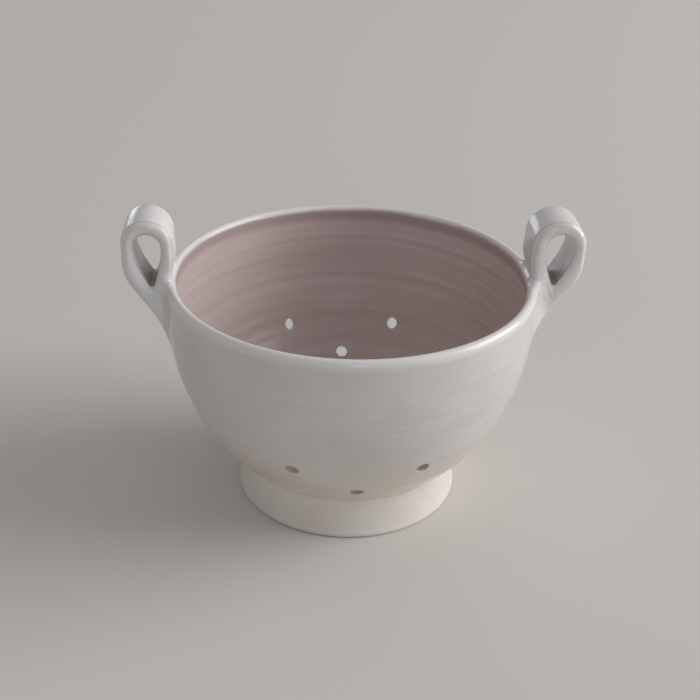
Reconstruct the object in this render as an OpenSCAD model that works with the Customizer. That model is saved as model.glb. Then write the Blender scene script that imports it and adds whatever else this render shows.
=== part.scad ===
// Berry colander bowl: a wheel-thrown stoneware bowl that stands on a foot ring.
// Two staggered rows of drain holes go round low in the wall, more holes drain the
// floor inside the foot ring, and two clay straps, each folded into a teardrop loop,
// are luted to the outside of the rim as handles. Glazed and fired as one, nothing
// moves. Millimetres, +Z up, the origin is on the table under the middle of the foot,
// and the loops stand at +X and -X.

/* [Bowl] */
// Outside diameter at the belly, the widest place
bowl_d = 160; // [140:1:190]
// Height of the rim above the table
rim_h = 105; // [98:1:125]
// Depth below the rim at which the wall stands upright
belly_drop = 15; // [11:1:25]
// Thickness of the wall from the belly up
wall_t = 4.2; // [3:0.1:6]
// Thickness to which the wall swells at its low end
heel_t = 7.5; // [5.5:0.5:10]
// Thickness of the floor
floor_t = 6; // [4:0.5:8]
// Length over which the inside turns from wall to floor
heel_blend = 7; // [4:0.5:10]

/* [Rim] */
// Thickness of the rounded lip
lip_t = 4.6; // [3.5:0.1:6.5]
// Height of the lip's rounding
lip_round = 3; // [2:0.25:5]
// Depth below the lip's rounding at which the lip has run out into the wall
lip_fade = 5; // [3:0.5:7]

/* [Foot ring] */
// Outside diameter of the foot ring where it meets the bowl
foot_d = 98; // [86:1:110]
// Height of the foot ring on its outside
foot_h = 19.5; // [16:0.5:26]
// Thickness of the foot ring where it meets the bowl
foot_t = 7.5; // [5.5:0.5:10]
// How far the foot ring spreads at the table
foot_spread = 1.2; // [0:0.1:2.5]
// How far the inside of the foot ring draws back towards the table
foot_draw = 1.2; // [0:0.1:2.5]
// Rounding of the two edges that stand on the table
foot_edge = 1.4; // [0.8:0.1:2]

/* [Drain holes] */
// Diameter of the drain holes
hole_d = 5.6; // [4:0.1:8]
// Number of holes in each row round the wall
holes_per_row = 8; // [6:1:10]
// Height of the upper row on the outside of the wall
upper_row_h = 46.5; // [43:0.5:52]
// Height of the lower row on the outside of the wall
lower_row_h = 32; // [29:0.5:35]
// Number of holes in the ring on the floor
floor_holes = 6; // [4:1:8]
// Radius of the ring of holes on the floor
floor_ring_r = 20; // [14:0.5:25]

/* [Handles] */
// Width of the strap
strap_w = 20.5; // [14:0.5:26]
// Thickness of the strap in the outer leg
strap_t = 5.5; // [4:0.1:6.5]
// Thickness of the strap at the top of its loop
crown_t = 6.6; // [5:0.1:7.5]
// How far the bowl side of a loop stands in from the bowl's widest place
loop_in = 4.3; // [2:0.1:6]
// Height of the opening's low tip against the rim, below it when negative
tip_rise = -2; // [-3:0.25:2]
// How far the inner leg bows out over the rim, on the bowl's side
leg_bow = 0.6; // [0:0.1:2]
// Height above the rim down to which the outer leg stands upright
knee_rise = 9; // [6:0.5:12]
// Radius of the outer leg's bend
knee_r = 22; // [16:0.5:26]
// Depth below the rim at which the handle's root ends on the wall
root_drop = 22; // [20:0.5:26]
// Width of the root where it is pressed on the wall
root_w = 22.5; // [16:0.5:28]
// Rounding of the strap's long edges
strap_edge = 2.2; // [1.2:0.1:2.6]

/* [Left loop] */
// Width of the left-hand loop over all, seen from the front
left_loop_w = 21.8; // [19:0.2:27]
// Height of its top above the rim
left_rise = 28.5; // [26:0.5:34]
// Thickness of the strap in its inner leg
left_leg_t = 5.4; // [4:0.1:7]
// How far the low tip of its opening stands out from the bowl's widest place
left_tip_out = 5.1; // [4.6:0.1:8]

/* [Right loop] */
// Width of the right-hand loop over all, seen from the front
right_loop_w = 23.8; // [19:0.2:27]
// Height of its top above the rim
right_rise = 27.8; // [26:0.1:34]
// Thickness of the strap in its inner leg
right_leg_t = 6.8; // [4:0.1:7]
// How far the low tip of its opening stands out from the bowl's widest place
right_tip_out = 6.8; // [4.6:0.1:8]

/* [Hidden] */
$fn = 96;

// Cuts run past the clay by this much
overrun = 2;
// How deep a handle's blank reaches into the wall before it is trimmed to the wall
root_sink = 2.6;
// Radius of the opening's low tip, and the turns at which its rounding begins and ends
tip_r = 0.9;
tip_from = -20;
tip_to = -150;
// Turn round the lip at which the bowl side of the inner leg comes down on it
seat_turn = 80;
// Largest rounding of the strap's edges, as a share of its thickness there
round_share = 0.45;
// Facets along the bowl's curve, the joint, the lip, the heel and the foot's corners
curve_steps = 14;
joint_steps = 3;
lip_steps = 10;
heel_steps = 4;
corner_steps = 4;
// Stations along a handle's top arc, each leg and the root, and points per corner
arc_steps = 16;
leg_steps = 9;
root_steps = 12;
edge_steps = 3;
// Heights, as shares of each leg, to which its inner edge runs nearly upright
inner_leg_share = 0.5;
outer_leg_share = 0.45;
// Height, as a share, at which the inner leg's bowl side starts to lean out
lean_share = 0.55;

bowl_r = bowl_d / 2;
belly_h = rim_h - belly_drop;
foot_r = foot_d / 2;
foot_in_r = foot_r - foot_t;
// The wall's curve is an ellipse: upright at the belly, and through the foot's edge
curve_h = (belly_h - foot_h) / sqrt(1 - pow(foot_r / bowl_r, 2));
joint_angle = acos(foot_r / bowl_r);
base_angle = acos(foot_in_r / bowl_r);
base_h = belly_h - curve_h * sin(base_angle);
floor_h = base_h + floor_t;
inside_r = bowl_r - wall_t;
inside_h = curve_h - heel_t;
heel_angle = asin((belly_h - floor_h) / inside_h);
heel_r = inside_r * cos(heel_angle);
blend_angle = asin((belly_h - floor_h - heel_blend / 2) / inside_h);

// Points on the outside and the inside of the wall, by angle down from the belly
function outside_at(a) = [bowl_r * cos(a), belly_h - curve_h * sin(a)];
function inside_at(a) = [inside_r * cos(a), belly_h - inside_h * sin(a)];
// A point on the quadratic curve from a to c that leaves and arrives along b
function bend(a, b, c, s) = (1 - s) * (1 - s) * a + 2 * s * (1 - s) * b + s * s * c;

// Half outline of the outside, from the base up to the lip's rounding
joint_curve = [for (i = [0 : joint_steps])
    outside_at(base_angle + (joint_angle - base_angle) * i / joint_steps)];
wall_curve = [for (i = [1 : curve_steps])
    outside_at(joint_angle * (1 - i / curve_steps))];
lip_curve = [for (i = [0 : lip_steps])
    let (a = 180 * i / lip_steps)
    [bowl_r - lip_t / 2 + lip_t / 2 * cos(a), rim_h - lip_round + lip_round * sin(a)]];
inside_curve = [for (i = [0 : curve_steps])
    inside_at(blend_angle * i / curve_steps)];
heel_curve = [for (i = [1 : heel_steps])
    bend(inside_at(blend_angle), [heel_r, floor_h], [heel_r - heel_blend, floor_h], i / heel_steps)];

// The solid of the bowl before it is hollowed, which trims the handles
module bowl_envelope() {
    rotate_extrude()
        polygon(concat([[0, base_h]], joint_curve, wall_curve,
            [for (p = lip_curve) if (p[0] >= bowl_r - lip_t / 2) p], [[0, rim_h]]));
}

module bowl_shell() {
    rotate_extrude()
        polygon(concat([[0, base_h]], joint_curve, wall_curve, lip_curve,
            [[inside_r, rim_h - lip_round - lip_fade]], inside_curve, heel_curve, [[0, floor_h]]));
}

// A drain hole square to the wall, at a height on the outside and a turn about the axis
module wall_hole(h, turn) {
    a = asin((belly_h - h) / curve_h);
    tilt = atan2(sin(a) / curve_h, cos(a) / bowl_r);
    rotate([0, 0, turn])
        translate([bowl_r * cos(a), 0, h])
            rotate([0, tilt - 90, 0])
                translate([0, 0, -overrun])
                    cylinder(d = hole_d, h = heel_t + 2 * overrun);
}

module floor_hole(r, turn) {
    rotate([0, 0, turn])
        translate([r, 0, base_h - overrun])
            cylinder(d = hole_d, h = floor_t + 2 * overrun);
}

module bowl() {
    pitch = 360 / holes_per_row;
    color([0.84, 0.82, 0.80])
        difference() {
            bowl_shell();
            for (i = [0 : holes_per_row - 1]) {
                wall_hole(upper_row_h, (i + 1 / 2) * pitch);
                wall_hole(lower_row_h, i * pitch);
            }
            floor_hole(0, 0);
            for (i = [0 : floor_holes - 1])
                floor_hole(floor_ring_r, i * 360 / floor_holes);
        }
}

// A quarter round between two straight stretches of the foot's outline
function corner(c, from) = [for (i = [0 : corner_steps])
    c + foot_edge * [cos(from + 90 * i / corner_steps), sin(from + 90 * i / corner_steps)]];

module foot_ring() {
    low_out = foot_r + foot_spread - foot_edge;
    low_in = foot_in_r + foot_draw + foot_edge;
    side = [for (i = [1 : corner_steps])
        let (s = i / (corner_steps + 1))
        [foot_r + foot_spread * (1 - s) * (1 - s), foot_edge + (foot_h - foot_edge) * s]];
    color([0.86, 0.81, 0.79])
        rotate_extrude()
            polygon(concat(corner([low_in, foot_edge], 180), corner([low_out, foot_edge], 270),
                side, [for (i = [joint_steps : -1 : 0]) joint_curve[i]]));
}

// A handle at +X is drawn in the plane of its loop: x out from the axis, y up
function polar(c, r, a) = c + r * [cos(a), sin(a)];

root_at = [bowl_r, rim_h - root_drop];
seat_at = [bowl_r - lip_t / 2 + lip_t / 2 * cos(seat_turn),
    rim_h - lip_round + lip_round * sin(seat_turn)];

// The strap's rounded section at a station, from the opening's edge to the outer edge
function section(eye, edge, w) =
    let (t = norm(edge - eye),
         out = (edge - eye) / t,
         round_t = min(strap_edge, t * round_share))
    [for (c = [[1, 1, 0], [0, 1, 90], [0, 0, 180], [1, 0, 270]], i = [0 : edge_steps])
        let (a = c[2] + 90 * i / edge_steps,
             along = (c[0] == 1 ? t - round_t : round_t) + round_t * cos(a),
             across = (c[1] == 1 ? w / 2 - strap_edge : strap_edge - w / 2) + strap_edge * sin(a),
             p = eye + out * along)
        [p[0], across, p[1]]];

// Sections joined into one closed ring of clay
module strap(stations) {
    ring = 4 * (edge_steps + 1);
    count = len(stations);
    points = [for (s = stations) each section(s[0], s[1], s[2])];
    faces = [for (i = [0 : count - 1], j = [0 : ring - 1])
        let (a = i * ring + j,
             b = i * ring + (j + 1) % ring,
             c = ((i + 1) % count) * ring + (j + 1) % ring,
             d = ((i + 1) % count) * ring + j)
        each [[a, b, c], [a, c, d]]];
    polyhedron(points, faces, convexity = 4);
}

// Each station pairs a point on the opening's edge with one on the outer edge, and
// has its width: over the top, down the outer leg, round the root, up the inner leg
module strap_loop(loop_w, rise, leg_t, tip_out) {
    loop_r = loop_w / 2;
    loop_at = [bowl_r - loop_in + loop_r, rim_h + rise - loop_r];
    eye_r = (loop_w - leg_t - strap_t) / 2;
    eye_at = loop_at + [(leg_t - strap_t) / 2, loop_r - crown_t - eye_r];
    tip_at = [bowl_r + tip_out, rim_h + tip_rise + tip_r];
    outer_eye_end = polar(tip_at, tip_r, tip_from);
    inner_eye_end = polar(tip_at, tip_r, tip_to);

    arc = [for (i = [0 : arc_steps])
        let (a = 180 - 180 * i / arc_steps)
        [polar(eye_at, eye_r, a), polar(loop_at, loop_r, a), strap_w]];

    // The outer leg's low end leans so that it touches the bend and ends at the root
    knee_at = [loop_at[0] + loop_r - knee_r, rim_h + knee_rise];
    reach = root_at - knee_at;
    knee_lean = -atan2(reach[1], reach[0]) - acos(knee_r / norm(reach));
    knee_end = polar(knee_at, knee_r, -knee_lean);
    straight = loop_at[1] - knee_at[1];
    leg_length = straight + knee_r * knee_lean * PI / 180;
    outer_top = eye_at + [eye_r, 0];
    outer_turn = [outer_top[0], outer_top[1] + (tip_at[1] - outer_top[1]) * outer_leg_share];
    outer_leg = [for (i = [1 : leg_steps])
        let (s = i / leg_steps,
             run = s * leg_length,
             edge = run < straight
                 ? [loop_at[0] + loop_r, loop_at[1] - run]
                 : polar(knee_at, knee_r, -(run - straight) / knee_r * 180 / PI))
        [bend(outer_top, outer_turn, outer_eye_end, s), edge, strap_w]];

    // The root's outer edge runs straight on to the wall, and back up inside the wall
    root_low = root_at - root_sink * [1, 1 / tan(knee_lean)];
    root_high = [root_low[0], seat_at[1] - root_sink];
    root = [for (i = [1 : root_steps - 1])
        let (s = i / root_steps,
             edge = s < 1 / 2 ? knee_end + (root_low - knee_end) * 2 * s
                              : root_low + (root_high - root_low) * (2 * s - 1),
             w = strap_w + (root_w - strap_w) * sin(180 * s))
        [polar(tip_at, tip_r, tip_from + (tip_to - tip_from) * s), edge, w]];

    inner_top = eye_at - [eye_r, 0];
    inner_turn = [inner_top[0], inner_top[1] + (tip_at[1] - inner_top[1]) * inner_leg_share];
    leg_low = [seat_at[0], seat_at[1] - root_sink / 2];
    leg_high = loop_at - [loop_r, 0];
    leg_turn = [leg_high[0], leg_high[1] + (leg_low[1] - leg_high[1]) * lean_share];
    inner_leg = [for (i = [0 : leg_steps - 1])
        let (s = i / leg_steps,
             bow = [leg_bow * pow(sin(180 * s), 2), 0])
        [bend(inner_eye_end, inner_turn, inner_top, s),
            bend(leg_low, leg_turn, leg_high, s) - bow, strap_w]];

    strap(concat(arc, outer_leg, root, inner_leg));
}

module right_handle() {
    color([0.88, 0.87, 0.86])
        difference() {
            strap_loop(right_loop_w, right_rise, right_leg_t, right_tip_out);
            bowl_envelope();
        }
}

module left_handle() {
    color([0.88, 0.87, 0.86])
        mirror([1, 0, 0])
            difference() {
                strap_loop(left_loop_w, left_rise, left_leg_t, left_tip_out);
                bowl_envelope();
            }
}

bowl();
foot_ring();
left_handle();
right_handle();
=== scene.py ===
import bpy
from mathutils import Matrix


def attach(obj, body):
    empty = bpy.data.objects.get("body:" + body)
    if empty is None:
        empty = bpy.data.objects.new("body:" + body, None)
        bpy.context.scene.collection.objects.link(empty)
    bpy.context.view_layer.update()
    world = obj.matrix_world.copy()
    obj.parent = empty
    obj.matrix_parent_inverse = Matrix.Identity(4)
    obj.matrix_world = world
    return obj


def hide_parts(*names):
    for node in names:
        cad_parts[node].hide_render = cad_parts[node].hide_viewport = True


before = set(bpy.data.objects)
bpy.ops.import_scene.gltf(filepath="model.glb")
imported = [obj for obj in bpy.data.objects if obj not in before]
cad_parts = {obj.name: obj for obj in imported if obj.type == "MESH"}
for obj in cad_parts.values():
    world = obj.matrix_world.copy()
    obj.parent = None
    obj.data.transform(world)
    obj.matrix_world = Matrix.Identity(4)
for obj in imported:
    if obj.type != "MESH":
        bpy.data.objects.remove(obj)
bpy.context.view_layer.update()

import math

import bpy
import numpy as np
from mathutils import Matrix, Vector

MM = 0.001
FAR = 1e9
TINY = 1e-6

# The bowl, in millimetres, as the solids have it
BOWL_R = 80.0
RIM_H = 105.0
BELLY_H = 90.0
WALL_T = 4.2
HEEL_T = 7.5
FLOOR_T = 6.0
HEEL_BLEND = 7.0
LIP_T = 4.6
LIP_ROUND = 3.0
LIP_FADE = 5.0
FOOT_R = 49.0
FOOT_H = 19.5
FOOT_T = 7.5
FOOT_SPREAD = 1.2
FOOT_DRAW = 1.2
BORE_R = 2.8
HOLES_PER_ROW = 8
UPPER_ROW_H = 46.5
LOWER_ROW_H = 32.0
FLOOR_HOLES = 6
FLOOR_RING_R = 20.0

# The wall's curve: an ellipse, upright at the belly and through the foot's edge
FOOT_IN_R = FOOT_R - FOOT_T
CURVE_H = (BELLY_H - FOOT_H) / math.sqrt(1 - (FOOT_R / BOWL_R) ** 2)
JOINT_ANGLE = math.acos(FOOT_R / BOWL_R)
BASE_ANGLE = math.acos(FOOT_IN_R / BOWL_R)
BASE_H = BELLY_H - CURVE_H * math.sin(BASE_ANGLE)
FLOOR_H = BASE_H + FLOOR_T
INSIDE_R = BOWL_R - WALL_T
INSIDE_H = CURVE_H - HEEL_T

# Inside this radius depth is counted up through the floor; outside it a gain evens the measure
# that is taken across the curve
FLOOR_R = 38.0
CURVE_GAIN = 1.02

# What the wheel leaves: how far the rings climb in one turn, their pitch and depth, and the wobble
THROW_CLIMB = 3.4
OUTER_PITCH = 5.2
OUTER_DEPTH = 0.055
INNER_PITCH = 6.1
INNER_DEPTH = 0.13
OVAL_DEPTH = 0.10
OVAL_TURN = 0.6
OVAL_H = (40, 90)
TURN_CLIMB = 2.6
TURN_PITCH = 3.9
TURN_DEPTH = 0.05
FOOT_WOBBLE = 0.07
FOOT_EDGE = 1.3
FOOT_FILLET = 1.5

# Where the rings die out: off a hole's axis in mm, off the handles in radians, and in height
HOLE_CALM = (4.2, 8.0)
HANDLE_CALM = (0.26, 0.42)
HANDLE_CALM_H = (60, 69)
BELLY_CALM_H = (62, 88)

# The drain holes: a hand sets each a little off its even turn, and glaze rounds the mouths
HOLE_STRAY = 0.0045
HOLE_REACH = 12.0
BORE_SIDES = 44
# Where the painted shade inside a bore fades out, off the hole's axis in mm
BORE_SHADE_FADE = (BORE_R + 0.02, BORE_R + 0.25)
BIT_SINK = 0.02
MOUTH_ROUND = 0.40
MOUTH_TURNS = (12, 24, 36, 48, 60, 70, 78)
MOUTH_FLARE = 1.2

# Points closer than this, in mm, are one
SEAM_WELD = 0.002
CUT_WELD = 0.01


def only(piece):
    """Selects one piece and nothing else."""
    bpy.ops.object.select_all(action="DESELECT")
    piece.select_set(True)
    bpy.context.view_layer.objects.active = piece


def points_of(piece):
    """The places of a piece's points, in millimetres."""
    co = np.empty(len(piece.data.vertices) * 3)
    piece.data.vertices.foreach_get("co", co)
    return co.reshape(-1, 3) / MM


def move_points(piece, points):
    """Puts a piece's points at new places, given in millimetres."""
    piece.data.vertices.foreach_set("co", (points * MM).ravel())
    piece.data.update()


def normals_of(piece):
    """The way out of the clay at each of a piece's points."""
    no = np.empty(len(piece.data.vertices) * 3)
    piece.data.vertex_normals.foreach_get("vector", no)
    return no.reshape(-1, 3)


def paint(piece, name, values):
    """Keeps one number a point on the clay, for the glaze to read."""
    layer = piece.data.attributes.new(name, "FLOAT", "POINT")
    layer.data.foreach_set("value", np.asarray(values, np.float32))


def edge_ends(piece):
    """The points at the two ends of each edge of a piece."""
    ends = np.empty(len(piece.data.edges) * 2, int)
    piece.data.edges.foreach_get("vertices", ends)
    return ends.reshape(-1, 2).T


def smooth_step(low, high, value):
    """Rises softly from 0 at low to 1 at high."""
    s = np.clip((value - low) / (high - low), 0, 1)
    return s * s * (3 - 2 * s)


def ripple(run, pitch, seed):
    """A soft uneven wave along a run, between about -1 and 1, as a throwing hand leaves."""
    u = run / pitch
    return (0.5 * np.sin(2 * np.pi * (u + 0.21 * seed))
            + 0.3 * np.sin(2 * np.pi * (u * 0.613 + 0.37 * seed) + 1.3 * np.sin(u * 0.9 + seed))
            + 0.2 * np.sin(2 * np.pi * (u * 1.71 + 0.53 * seed)))


def bend(a, b, c, s):
    """A point on the curve from a to c that leaves and arrives along b."""
    a, b, c = (np.asarray(p, float) for p in (a, b, c))
    return (1 - s) ** 2 * a + 2 * s * (1 - s) * b + s * s * c


def polar(centre, radius, degrees):
    """A place on a circle, by its angle in degrees."""
    turn = math.radians(degrees)
    return np.array([centre[0] + radius * math.cos(turn), centre[1] + radius * math.sin(turn)])


def outside_at(angle):
    """A place on the wall's outer curve, by the angle of its ellipse below the belly."""
    return np.array([BOWL_R * math.cos(angle), BELLY_H - CURVE_H * math.sin(angle)])


def inside_at(angle):
    """The same on the wall's inner curve."""
    return np.array([INSIDE_R * math.cos(angle), BELLY_H - INSIDE_H * math.sin(angle)])


def spread(start, end, count):
    """Values in equal steps from start to end."""
    return [start + (end - start) * i / count for i in range(count + 1)]


def even(points, step):
    """The same line with points at an even step along it."""
    points = np.array(points)
    run = np.concatenate([[0], np.cumsum(np.linalg.norm(np.diff(points, axis=0), axis=1))])
    at = np.linspace(0, run[-1], max(2, round(run[-1] / step) + 1))
    return [np.array([np.interp(t, run, points[:, 0]), np.interp(t, run, points[:, 1])]) for t in at]


def draw_line(name, outline, y=0.0):
    """Draws a line point by point in the upright plane at y, and leaves it in edit mode."""
    bpy.ops.object.select_all(action="DESELECT")
    bpy.ops.mesh.primitive_plane_add(size=MM)
    piece = bpy.context.object
    piece.name = name
    bpy.ops.object.mode_set(mode="EDIT")
    bpy.ops.mesh.select_mode(type="VERT")
    bpy.ops.mesh.select_all(action="SELECT")
    bpy.ops.mesh.merge(type="CENTER")
    at = Vector((0, 0, 0))
    for i, (x, z) in enumerate(outline):
        go = Vector((x * MM, y * MM, z * MM)) - at
        if i == 0:
            bpy.ops.transform.translate(value=go)
        else:
            bpy.ops.mesh.extrude_vertices_move(TRANSFORM_OT_translate={"value": go})
        at += go
    return piece


def close_line(piece, count):
    """Joins the last of a drawn line's points to the first, still in edit mode."""
    bpy.ops.mesh.select_all(action="DESELECT")
    bpy.ops.object.mode_set(mode="OBJECT")
    for i, v in enumerate(piece.data.vertices):
        v.select = i in (0, count - 1)
    bpy.ops.object.mode_set(mode="EDIT")
    bpy.ops.mesh.edge_face_add()


def spin_outline(name, outline, steps, closed):
    """Spins a half outline once round the wheel's axis."""
    piece = draw_line(name, outline)
    if closed:
        close_line(piece, len(outline))
    bpy.ops.mesh.select_all(action="SELECT")
    bpy.ops.mesh.spin(steps=steps, angle=2 * math.pi, center=(0, 0, 0), axis=(0, 0, 1))
    bpy.ops.mesh.select_all(action="SELECT")
    bpy.ops.mesh.remove_doubles(threshold=SEAM_WELD * MM)
    bpy.ops.mesh.normals_make_consistent(inside=False)
    bpy.ops.object.mode_set(mode="OBJECT")
    return piece


def bowl_outline():
    """Half outline of the bowl: under the base, up the outside, over the lip, down to the floor."""
    base_step, wall_step, inside_step, floor_step = 2.6, 1.05, 1.15, 1.6
    base = [(0, BASE_H), (FOOT_IN_R, BASE_H)]
    wall = [outside_at(BASE_ANGLE * (1 - s)) for s in spread(0, 1, 60)]
    lip = [(BOWL_R - LIP_T / 2 + LIP_T / 2 * math.cos(a), RIM_H - LIP_ROUND + LIP_ROUND * math.sin(a))
           for a in spread(0, math.pi, 18)]
    heel_angle = math.asin((BELLY_H - FLOOR_H) / INSIDE_H)
    blend_angle = math.asin((BELLY_H - FLOOR_H - HEEL_BLEND / 2) / INSIDE_H)
    heel_r = INSIDE_R * math.cos(heel_angle)
    fade = [(INSIDE_R, RIM_H - LIP_ROUND - LIP_FADE)]
    inside = [inside_at(blend_angle * s) for s in spread(0, 1, 50)]
    heel = [bend(inside_at(blend_angle), (heel_r, FLOOR_H), (heel_r - HEEL_BLEND, FLOOR_H), s)
            for s in spread(0, 1, 8)]
    floor = [(heel_r - HEEL_BLEND, FLOOR_H), (0, FLOOR_H)]
    return (even(base, base_step) + even(wall + [(BOWL_R, RIM_H - LIP_ROUND)], wall_step)[1:] + lip[1:]
            + even([lip[-1]] + fade + inside + heel[1:], inside_step)[1:] + even(floor, floor_step)[1:])


def hole_axes():
    """Where each drain hole comes out on the outside, and its way out of the clay."""
    axes = []
    pitch = 2 * math.pi / HOLES_PER_ROW
    for row, (height, half) in enumerate(((UPPER_ROW_H, 0.5), (LOWER_ROW_H, 0.0))):
        angle = math.asin((BELLY_H - height) / CURVE_H)
        normal = np.array([math.cos(angle) / BOWL_R, -math.sin(angle) / CURVE_H])
        normal /= np.linalg.norm(normal)
        r = BOWL_R * math.cos(angle)
        for i in range(HOLES_PER_ROW):
            turn = (i + half) * pitch + HOLE_STRAY * math.sin(7.3 * i + 2.1 * row)
            c, s = math.cos(turn), math.sin(turn)
            at = np.array([r * c, r * s, height])
            axes.append((at, np.array([normal[0] * c, normal[0] * s, normal[1]])))
    turns = [2 * math.pi * i / FLOOR_HOLES for i in range(FLOOR_HOLES)]
    ring = [(FLOOR_RING_R * math.cos(t), FLOOR_RING_R * math.sin(t)) for t in turns]
    for x, y in [(0, 0)] + ring:
        axes.append((np.array([x, y, BASE_H]), np.array([0.0, 0.0, -1.0])))
    return axes


def hole_gap(p):
    """Distance of each place from the axis of the nearest drain hole."""
    best = np.full(len(p), FAR)
    for at, out in hole_axes():
        run = (p - at) @ out
        off = np.linalg.norm(p - at - run[:, None] * out, axis=1)
        best = np.minimum(best, np.where(np.abs(run) < HOLE_REACH, off, FAR))
    return best


def throw_bowl(steps):
    """The shell as it comes off the wheel, with its throwing rings and slight wobble."""
    bowl = spin_outline("bowl_shell", bowl_outline(), steps, closed=False)
    p = points_of(bowl)
    z = p[:, 2]
    r = np.hypot(p[:, 0], p[:, 1])
    turn = np.arctan2(p[:, 1], p[:, 0])
    climb = THROW_CLIMB * turn / (2 * math.pi)
    above_foot = smooth_step(FOOT_H + 1, FOOT_H + 9, z)
    below_belly = 1 - smooth_step(*BELLY_CALM_H, z)
    outer = (ripple(z + climb, OUTER_PITCH, 1) - 1) * OUTER_DEPTH
    outer = outer * (0.35 + 0.65 * above_foot * below_belly) * above_foot
    outer -= OVAL_DEPTH * (1 - np.cos(2 * turn + OVAL_TURN)) * smooth_step(*OVAL_H, z)
    # On the floor the rings follow the radius in place of the height
    knee_h = FLOOR_H + 3
    reach = np.where(z > knee_h, z, knee_h - (FLOOR_R - np.minimum(r, FLOOR_R)))
    below_lip = 1 - smooth_step(RIM_H - 14, RIM_H - 5, z)
    inner = ripple(reach + climb, INNER_PITCH, 2) * INNER_DEPTH * below_lip
    through = depth_share(r, z)
    side = smooth_step(0.3, 0.7, through)
    shift = outer * (1 - side) * (through < 0.9) + inner * side
    # The rings die out round the drain holes and where the handles sit
    shift *= smooth_step(*HOLE_CALM, hole_gap(p))
    by_handle = np.abs(np.abs((turn + math.pi / 2) % (2 * math.pi) - math.pi) - math.pi / 2)
    shift *= np.maximum(smooth_step(*HANDLE_CALM, by_handle), 1 - smooth_step(*HANDLE_CALM_H, z))
    move_points(bowl, p + normals_of(bowl) * shift[:, None])
    return bowl


def depth_share(r, z):
    """How far through the wall a place lies: 0 on the outside and 1 on the inside."""
    up = np.clip((RIM_H - LIP_ROUND - z) / LIP_FADE, 0, 1)
    inner_top = BOWL_R - LIP_T + (LIP_T - WALL_T) * up
    drop = np.maximum(BELLY_H - z, 0)
    out = np.where(z > BELLY_H, BOWL_R - r,
                   (1 - np.hypot(r / BOWL_R, drop / CURVE_H)) * BOWL_R * CURVE_GAIN)
    inn = np.where(z > BELLY_H, r - inner_top,
                   (np.hypot(r / INSIDE_R, drop / INSIDE_H) - 1) * INSIDE_R * CURVE_GAIN)
    inn = np.maximum(inn, 0)
    floor = np.where((z > BASE_H) & (r < FLOOR_R), (z - BASE_H) / FLOOR_T, 0)
    share = np.maximum(out, 0) / (np.maximum(out, 0) + inn + TINY)
    return np.clip(np.where(r < FLOOR_R, floor, share), 0, 1)


def drain_cutter(name, length):
    """A bit that cuts one drain hole along Z, with both its mouths rounded as glaze leaves them."""
    barrel = length - 2 * MOUTH_ROUND
    bpy.ops.object.select_all(action="DESELECT")
    bpy.ops.mesh.primitive_cylinder_add(vertices=BORE_SIDES, radius=BORE_R * MM, depth=barrel * MM)
    bit = bpy.context.object
    bit.name = name
    turns = [math.radians(t) for t in MOUTH_TURNS]
    path = [(MOUTH_ROUND * math.sin(t), MOUTH_ROUND * (1 - math.cos(t))) for t in turns]
    path.append((path[-1][0] + MOUTH_FLARE * math.cos(turns[-1]),
                 path[-1][1] + MOUTH_FLARE * math.sin(turns[-1])))
    for end in (1, -1):
        bpy.ops.object.mode_set(mode="EDIT")
        bpy.ops.mesh.select_mode(type="FACE")
        bpy.ops.mesh.select_all(action="DESELECT")
        bpy.ops.object.mode_set(mode="OBJECT")
        for face in bit.data.polygons:
            face.select = face.normal.z * end > 0.9 and face.center.z * end > 0
        bpy.ops.object.mode_set(mode="EDIT")
        z, r = (length / 2 - MOUTH_ROUND) * end, BORE_R
        for rise, widen in path:
            next_z, next_r = (length / 2 - MOUTH_ROUND + rise) * end, BORE_R + widen
            lift, grow = (next_z - z) * MM, next_r / r
            bpy.ops.mesh.extrude_region_move(TRANSFORM_OT_translate={"value": (0, 0, lift)})
            bpy.ops.transform.resize(value=(grow, grow, 1), center_override=(0, 0, next_z * MM))
            z, r = next_z, next_r
        bpy.ops.object.mode_set(mode="OBJECT")
    return bit


def place_copy(bit, name, matrix):
    """A copy of a bit with its own mesh, moved to its place."""
    copy = bit.copy()
    copy.data = bit.data.copy()
    copy.name = name
    bpy.context.collection.objects.link(copy)
    copy.data.transform(matrix)
    return copy


def clay_along(at, out):
    """How thick the clay is from a place on the outside, straight against its way out."""
    if out[2] < -0.99:
        return FLOOR_T
    length = 0.0
    while True:
        q = at - out * length
        if math.hypot(math.hypot(q[0], q[1]) / INSIDE_R, (BELLY_H - q[2]) / INSIDE_H) < 1:
            return length
        length += 0.01


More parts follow.
